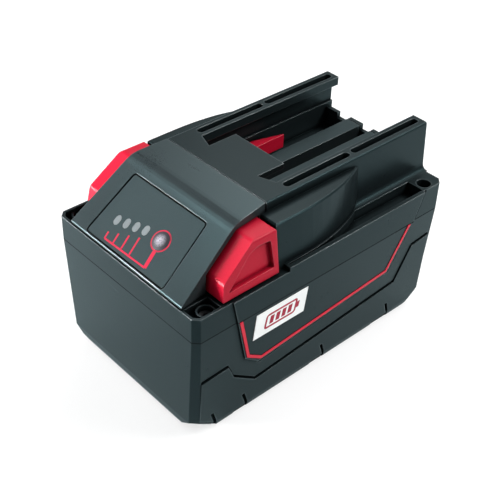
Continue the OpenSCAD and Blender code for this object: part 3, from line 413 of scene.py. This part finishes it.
def circle(centre, radius, count=48):
    turns = [math.tau * i / count for i in range(count)]
    return [(centre[0] + radius * math.cos(turn), centre[1] + radius * math.sin(turn))
            for turn in turns]


def rounded_box(width, height, radius, steps=5):
    """The outline of a rectangle with round corners."""
    points = []
    for k, (sx, sy) in enumerate(((1, 1), (-1, 1), (-1, -1), (1, -1))):
        for i in range(steps + 1):
            turn = math.pi / 2 * (k + i / steps)
            points.append((sx * (width / 2 - radius) + radius * math.cos(turn),
                           sy * (height / 2 - radius) + radius * math.sin(turn)))
    return points


def geometry_tree(name, sizes, build):
    """A Geometry Nodes tree with named inputs that ends in real mesh with its finish."""
    tree = bpy.data.node_groups.new(name, "GeometryNodeTree")
    kinds = dict(sizes, Finish="Material")
    for label, kind in kinds.items():
        tree.interface.new_socket(label, in_out="INPUT", socket_type="NodeSocket" + kind)
    tree.interface.new_socket("Form", in_out="OUTPUT", socket_type="NodeSocketGeometry")
    g = Graph(tree)
    entry = tree.nodes.new("NodeGroupInput")
    size = {label: Sock(g, entry.outputs[label]) for label in kinds}
    solid = g.add("GeometryNodeRealizeInstances", {"Geometry": build(g, size)})
    painted = g.add("GeometryNodeSetMaterial", {"Geometry": solid, "Material": size["Finish"]})
    g.add("NodeGroupOutput", {"Form": painted})
    return tree


def grow(name, tree, finish, place, sizes):
    """A plain mesh piece grown from a tree and set in its place."""
    piece = add_object(name, bpy.data.meshes.new(name))
    modifier = piece.modifiers.new("grow", "NODES")
    modifier.node_group = tree
    values = dict(sizes, Finish=finish)
    for item in tree.interface.items_tree:
        if item.in_out == "INPUT":
            modifier[item.identifier] = values[item.name]
    bake(piece)
    piece.data.transform(place)
    return piece


COIL_STEPS, WIRE_STEPS = 28, 10


def coil_wire(g, size):
    """A wound wire that rises along z."""
    path = g.add("GeometryNodeCurveSpiral", {
        "Resolution": COIL_STEPS, "Rotations": size["Turns"], "Start Radius": size["Mean radius"],
        "End Radius": size["Mean radius"], "Height": size["Rise"]})
    wire = g.add("GeometryNodeCurvePrimitiveCircle", {
        "Resolution": WIRE_STEPS, "Radius": size["Wire radius"]})
    return g.add("GeometryNodeCurveToMesh", {
        "Curve": path, "Profile Curve": wire, "Fill Caps": True})


def leaning_bars(g, size):
    """A row of printed bars along x, each higher than the one before."""
    height = size["First height"] + size["Growth"] * g.add("GeometryNodeInputIndex")
    feet = g.add("GeometryNodeMeshLine", {
        "Count": size["Count"], "Offset": g.xyz(X=size["Pitch"])})
    middles = g.add("GeometryNodeSetPosition", {
        "Geometry": feet, "Offset": g.xyz(X=height * size["Lean"] * -0.5, Y=height * 0.5)})
    strip = g.add("GeometryNodeMeshCube", {
        "Size": g.xyz(X=size["Width"], Y=1.0, Z=size["Thickness"])})
    return g.add("GeometryNodeInstanceOnPoints", {
        "Points": middles, "Instance": strip, "Rotation": g.xyz(Z=size["Lean"]),
        "Scale": g.xyz(X=1.0, Y=height, Z=1.0)})


coil_tree = geometry_tree("coil", {
    "Turns": "Float", "Mean radius": "Float", "Rise": "Float", "Wire radius": "Float"}, coil_wire)
bars_tree = geometry_tree("leaning_bars", {
    "Count": "Int", "Pitch": "Float", "First height": "Float", "Growth": "Float",
    "Width": "Float", "Lean": "Float", "Thickness": "Float"}, leaning_bars)


# Gauge print, and a black band painted as shade in the groove round the overlay

PRINT_LOW, PRINT_HIGH = -0.22, -0.16
COMB_FOOT, COMB_END, COMB_LINE = (-15.3, 2.7), (9.9, 3.2), 0.75
RISER_TOP, RISER_LINE = (8.9, 10.4), 1.7
RING_OUT, RING_IN = 4.6, 3.95
COMB_TEETH = {"Count": 4, "Pitch": 5.1, "First height": 3.0, "Growth": 1.73,
              "Width": COMB_LINE, "Lean": 0.12, "Thickness": PRINT_HIGH - PRINT_LOW}

form = bmesh.new()
slab(form, bar(COMB_FOOT, COMB_END, COMB_LINE), PRINT_LOW, PRINT_HIGH)
slab(form, bar(COMB_END, RISER_TOP, RISER_LINE), PRINT_LOW, PRINT_HIGH)
hoop(form, circle(DOME_PLACE, RING_OUT), circle(DOME_PLACE, RING_IN), PRINT_LOW, PRINT_HIGH)
form.transform(GAUGE_FACE)
settle(finish_form("gauge_print", form, print_red, smooth=False), "pack", "stripe_red")

OVERLAY_MID, OVERLAY_FOOT_W, OVERLAY_TOP_W = -1.3, 49.4, 45.0
OVERLAY_FOOT, OVERLAY_L, OVERLAY_ROUND, ROUND_STEPS = 0.5, 30.4, 2.0, 6
GROOVE_SHADE_LOW, GROOVE_SHADE_HIGH = -0.98, -0.5
GROOVE_SHADE_OUT, GROOVE_SHADE_IN = 0.04, 0.66


def overlay_line(inset):
    """The outline of the overlay's seat, moved inwards."""
    foot, top = OVERLAY_FOOT_W / 2 - inset, OVERLAY_TOP_W / 2 - inset
    low, high = OVERLAY_FOOT + inset, OVERLAY_FOOT + OVERLAY_L - inset
    corners = [Vector((OVERLAY_MID + x, y))
               for x, y in ((-foot, low), (foot, low), (top, high), (-top, high))]
    bend = OVERLAY_ROUND - inset
    points = []
    for i, corner in enumerate(corners):
        start = corner + (corners[i - 1] - corner).normalized() * bend
        end = corner + (corners[(i + 1) % 4] - corner).normalized() * bend
        for k in range(ROUND_STEPS + 1):
            t = k / ROUND_STEPS
            points.append(start * (1 - t) ** 2 + corner * 2 * t * (1 - t) + end * t ** 2)
    return points


# A black band at the floor of the groove round the overlay: painted shade
form = bmesh.new()
hoop(form, overlay_line(GROOVE_SHADE_OUT), overlay_line(GROOVE_SHADE_IN), GROOVE_SHADE_LOW, GROOVE_SHADE_HIGH)
form.transform(GAUGE_FACE)
settle(finish_form("overlay_groove_shade", form, looks["rubber_black"], smooth=False),
       "pack", "rubber_black")

comb_turn = math.atan2(COMB_END[1] - COMB_FOOT[1], COMB_END[0] - COMB_FOOT[0])
comb_foot = Matrix.Translation((*COMB_FOOT, (PRINT_LOW + PRINT_HIGH) / 2))
comb_place = comb_foot @ Matrix.Rotation(comb_turn, 4, "Z")
settle(grow("gauge_print_teeth", bars_tree, print_red, GAUGE_FACE @ comb_place, COMB_TEETH),
       "pack", "stripe_red")


# A black strip painted as shade in the joint of the two case halves

PARTING, ABOVE_JOINT = 54.6, 0.4
JOINT_SHADE_H, JOINT_SHADE_PROUD, JOINT_SHADE_DEEP = 0.5, 0.004, 0.5
WELD = 0.002 * MM


def outline_at(node, height):
    """The outer outline of a CAD node at a height, anticlockwise."""
    form = bmesh.new()
    form.from_mesh(nodes[node].data)
    bmesh.ops.remove_doubles(form, verts=form.verts, dist=WELD)
    everything = form.verts[:] + form.edges[:] + form.faces[:]
    cut = bmesh.ops.bisect_plane(form, geom=everything, plane_co=(0, 0, height), plane_no=(0, 0, 1))
    near = {}
    for edge in cut["geom_cut"]:
        if isinstance(edge, bmesh.types.BMEdge):
            a, b = edge.verts
            near.setdefault(a, []).append(b)
            near.setdefault(b, []).append(a)
    start = max(near, key=lambda vert: (vert.co.x, vert.co.y))
    loop, here = [start], max(near[start], key=lambda vert: vert.co.y)
    while here is not start:
        before = loop[-1]
        loop.append(here)
        here = next(vert for vert in near[here] if vert is not before)
    points = [vert.co.copy() for vert in loop]
    form.free()
    return points


def moved_out(points, reach):
    """An anticlockwise outline moved outwards."""
    moved = []
    for i, point in enumerate(points):
        ahead = (points[(i + 1) % len(points)] - points[i - 1]).normalized()
        moved.append((point.x + ahead.y * reach, point.y - ahead.x * reach))
    return moved


# A black strip round the case at the joint: painted shade
form = bmesh.new()
joint_line = outline_at("upper_case", (PARTING + ABOVE_JOINT) * MM)
hoop(form, moved_out(joint_line, JOINT_SHADE_PROUD * MM), moved_out(joint_line, -JOINT_SHADE_DEEP * MM),
     (PARTING - JOINT_SHADE_H / 2) * MM, (PARTING + JOINT_SHADE_H / 2) * MM)
settle(finish_form("case_joint_shade", form, looks["rubber_black"], smooth=False), "pack", "rubber_black")


# Side badges with a plain battery sign

SIGN_L, SIGN_H, SIGN_LINE, SIGN_LEAN = 17.0, 7.4, 0.95, 0.16
SIGN_ROUND, SIGN_ROUND_IN = 1.5, 0.6
SIGN_LOW, SIGN_HIGH = -0.01, 0.05
CAP_L, CAP_H = 1.4, 3.0
BAR_START, BAR_H = 3.6, 4.0
SIGN_BARS = {"Count": 4, "Pitch": 3.25, "First height": BAR_H, "Growth": 0.0,
             "Width": 2.1, "Lean": 0.0, "Thickness": SIGN_HIGH - SIGN_LOW}
FACING = 0.9


def outer_face(node, toward):
    """Middle and normal of the face of a plate that looks a given way."""
    faces = [face for face in nodes[node].data.polygons if face.normal.dot(toward) > FACING]
    area = sum(face.area for face in faces)
    middle = sum((face.center * face.area for face in faces), Vector()) / area
    return middle, sum((face.normal * face.area for face in faces), Vector()).normalized()


sign_outer = rounded_box(SIGN_L, SIGN_H, SIGN_ROUND)
sign_inner = rounded_box(SIGN_L - 2 * SIGN_LINE, SIGN_H - 2 * SIGN_LINE, SIGN_ROUND_IN)
cap_start, cap_end = SIGN_L / 2, SIGN_L / 2 + CAP_L
sign_cap = [(cap_start, -CAP_H / 2), (cap_end, -CAP_H / 2),
            (cap_end, CAP_H / 2), (cap_start, CAP_H / 2)]
bar_row = Matrix.Translation((-SIGN_L / 2 + BAR_START, -BAR_H / 2, (SIGN_LOW + SIGN_HIGH) / 2))

for side, name in SIDES:
    middle, out = outer_face(name + "_badge", Vector((side, 0.0, 0.0)))
    along = Vector((0.0, 0.0, 1.0)).cross(out).normalized()
    plate_turn = Matrix((along, out.cross(along), out)).transposed().to_4x4()
    lean = Matrix.Identity(4)
    lean[0][1] = SIGN_LEAN * side
    plate = Matrix.Translation(middle) @ plate_turn @ Matrix.Scale(MM, 4) @ lean
    form = bmesh.new()
    hoop(form, sign_outer, sign_inner, SIGN_LOW, SIGN_HIGH)
    slab(form, sign_cap, SIGN_LOW, SIGN_HIGH)
    form.transform(plate)
    settle(finish_form(name + "_battery_sign", form, print_red, smooth=False), "pack", "stripe_red")
    settle(grow(name + "_battery_sign_bars", bars_tree, print_red, plate @ bar_row, SIGN_BARS),
           "pack", "stripe_red")


# Springs, switch rubber and foam pad

WIRE = 0.8 * MM
SPRING_TURNS = 4.0

for side, name in SIDES:
    node = name + "_latch_spring"
    low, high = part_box(node)
    mid_y, mid_z = (low.y + high.y) / 2, (low.z + high.z) / 2
    coil_foot = Matrix.Translation((low.x + WIRE / 2, mid_y, mid_z))
    coil_place = coil_foot @ Matrix.Rotation(math.pi / 2, 4, "Y")
    spring = grow(name + "_latch_coil", coil_tree, looks["spring_steel"], coil_place, {
        "Turns": SPRING_TURNS, "Mean radius": (high.y - low.y - WIRE) / 2,
        "Rise": high.x - low.x - WIRE, "Wire radius": WIRE / 2})
    spring.data.shade_smooth()
    settle(spring, "pack", "spring_steel", node)
    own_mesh(spring)

RUBBER_R, RUBBER_L, RUBBER_KEEP, RUBBER_STEPS = 1.5 * MM, 0.9 * MM, 1 / 3, 32
WAISTED = ((0.86, -0.5), (0.97, -0.44), (1.0, -0.32), (0.93, -0.1), (0.91, 0.0),
           (0.93, 0.1), (1.0, 0.32), (0.97, 0.44), (0.86, 0.5))

low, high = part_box("switch_rubber")
middle = (low + high) / 2
form = bmesh.new()
loft(form, [[(x, y, z * RUBBER_L) for x, y in circle((0.0, 0.0), r * RUBBER_R, RUBBER_STEPS)]
            for r, z in WAISTED])
form.transform(Matrix.Translation(middle) @ FACE_TURN)
rubber = settle(finish_form("switch_rubber_cushion", form, looks["rubber_black"]),
                "pack", "rubber_black", "switch_rubber")
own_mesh(rubber)

PAD_ROUND, PAD_DENT, PAD_STEPS, CELL_ROWS = 0.3 * MM, 0.15 * MM, 112, 7

low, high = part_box("bottom_pad")
rings = []
for k in range(PAD_STEPS + 1):
    share = k / PAD_STEPS
    y = low.y + (high.y - low.y) * share
    ends = PAD_ROUND * max(0.0, 1.0 - min(share, 1.0 - share) * PAD_STEPS)
    dent = PAD_DENT * (0.5 - 0.5 * math.cos(math.tau * CELL_ROWS * share))
    left, right = low.x + ends, high.x - ends
    foot, top = low.z + ends / 2, high.z - ends / 2 - dent
    rings.append([
        (left + PAD_ROUND, y, foot), (right - PAD_ROUND, y, foot),
        (right, y, foot + PAD_ROUND), (right, y, top - PAD_ROUND),
        (right - PAD_ROUND, y, top), (left + PAD_ROUND, y, top),
        (left, y, top - PAD_ROUND), (left, y, foot + PAD_ROUND)])
form = bmesh.new()
loft(form, rings)
pad = settle(finish_form("bottom_foam", form, looks["foam_grey"]),
             "pack", "foam_grey", "bottom_pad")


# Stage

COOL, WHITE = rgba((0.78, 0.95, 0.98)), rgba((1.0, 1.0, 1.0))
PAPER, PAPER_SHADE = rgba((0.95, 0.95, 0.95)), rgba((0.6, 0.6, 0.6))
MIRRORED_GLOW, DIRECT_GLOW = 0.12, 0.5
FLOOR_REACH = 3.0
ROOM_TINT, ROOM_LIGHT = rgba((0.95, 0.98, 1.0)), 0.4
CEILING_RANGE, CEILING_SHADE = (0.1, 0.5), 0.8


def lamp(name, place, aim, size, power, spread=180.0):
    """A flat softbox that faces its aim."""
    light = bpy.data.lights.new(name, "AREA")
    light.shape = "RECTANGLE"
    light.size, light.size_y = size
    light.energy = power
    light.spread = math.radians(spread)
    holder = add_object(name, light)
    holder.location = place
    holder.rotation_euler = (Vector(aim) - Vector(place)).to_track_quat("-Z", "Y").to_euler()


def direct_rays(graph):
    """1 for rays straight from the camera."""
    return graph.add("ShaderNodeLightPath", out="Is Camera Ray")


def seen_rays(graph):
    """1 for rays that show the background: straight, mirrored or through glass."""
    seen = direct_rays(graph)
    for name in ("Is Glossy Ray", "Is Transmission Ray"):
        seen = seen.math("MAXIMUM", seen, graph.add("ShaderNodeLightPath", out=name))
    return seen


floor_mesh = bpy.data.meshes.new("floor")
floor_mesh.from_pydata([(x * FLOOR_REACH, y * FLOOR_REACH, 0)
                        for x, y in ((-1, -1), (1, -1), (1, 1), (-1, 1))], [], [(0, 1, 2, 3)])
floor = add_object("floor", floor_mesh)
floor_look, g = new_material("floor_look")
direct, seen = direct_rays(g), seen_rays(g)
paper = g.mix(seen, PAPER_SHADE, g.mix(direct, COOL, PAPER))
plain = g.add("ShaderNodeBsdfDiffuse", {"Color": paper})
bright = g.add("ShaderNodeEmission", {"Color": g.mix(direct, COOL, WHITE), "Strength": 1.0})
close_material(g, g.layers(seen * MIRRORED_GLOW + direct * DIRECT_GLOW, plain, bright))
floor_mesh.materials.append(floor_look)

world = bpy.data.worlds.new("studio")
bpy.context.scene.world = world
world.use_nodes = True
world.node_tree.nodes.clear()
g = Graph(world.node_tree)
direct = direct_rays(g)
height = g.add("ShaderNodeSeparateXYZ", {0: g.add("ShaderNodeTexCoord", out="Generated")}, out="Z")
ceiling = g.ramp(height, *CEILING_RANGE) * (1.0 - direct)
room = g.add("ShaderNodeBackground", {"Color": ROOM_TINT, "Strength": ROOM_LIGHT})
backdrop = g.add("ShaderNodeBackground", {
    "Color": g.mix(direct, COOL, WHITE), "Strength": 1.0 - ceiling * CEILING_SHADE})
g.add("ShaderNodeOutputWorld", {"Surface": g.layers(seen_rays(g), room, backdrop)})

lamp("key_softbox", (-0.5, -0.38, 0.82), (0, -0.03, 0.06), (0.3, 0.25), power=3.0)
lamp("front_softbox", (-0.4, -0.55, 0.1), (-0.1, -0.07, 0.05), (0.3, 0.2), power=1.2, spread=40.0)
lamp("top_softbox", (-0.1, 0.58, 0.84), (0, 0, 0.06), (1.3, 0.5), power=9.0)
lamp("side_strip", (0.52, 0.55, 0.72), (0, 0, 0.06), (0.5, 0.08), power=8.0)

AZIMUTH, ELEVATION, ROLL = (math.radians(a) for a in (46.0838, 36.8586, 2.428))
DISTANCE, TARGET = 0.43601, Vector((0, 0, 0.047))
FOCAL_PX, FRAME_PX, CENTRE_PX = 1004.11, 500.0, (254.90, 234.33)
SENSOR_W, NEAREST = 36.0, 0.01

back = Vector((math.sin(AZIMUTH) * math.cos(ELEVATION),
               -math.cos(AZIMUTH) * math.cos(ELEVATION), math.sin(ELEVATION)))
level = Vector((math.cos(AZIMUTH), math.sin(AZIMUTH), 0))
lift = back.cross(level)
right = math.cos(ROLL) * level + math.sin(ROLL) * lift
up = -math.sin(ROLL) * level + math.cos(ROLL) * lift
view = bpy.data.cameras.new("view")
view.sensor_width = SENSOR_W
view.lens = FOCAL_PX / FRAME_PX * SENSOR_W
view.shift_x = (FRAME_PX / 2 - CENTRE_PX[0]) / FRAME_PX
view.shift_y = (CENTRE_PX[1] - FRAME_PX / 2) / FRAME_PX
view.clip_start = NEAREST
camera = add_object("camera", view)
view_turn = Matrix((right, up, back)).transposed().to_4x4()
camera.matrix_world = Matrix.Translation(TARGET + DISTANCE * back) @ view_turn
bpy.context.scene.camera = camera
bpy.context.scene.view_settings.view_transform = "Standard"
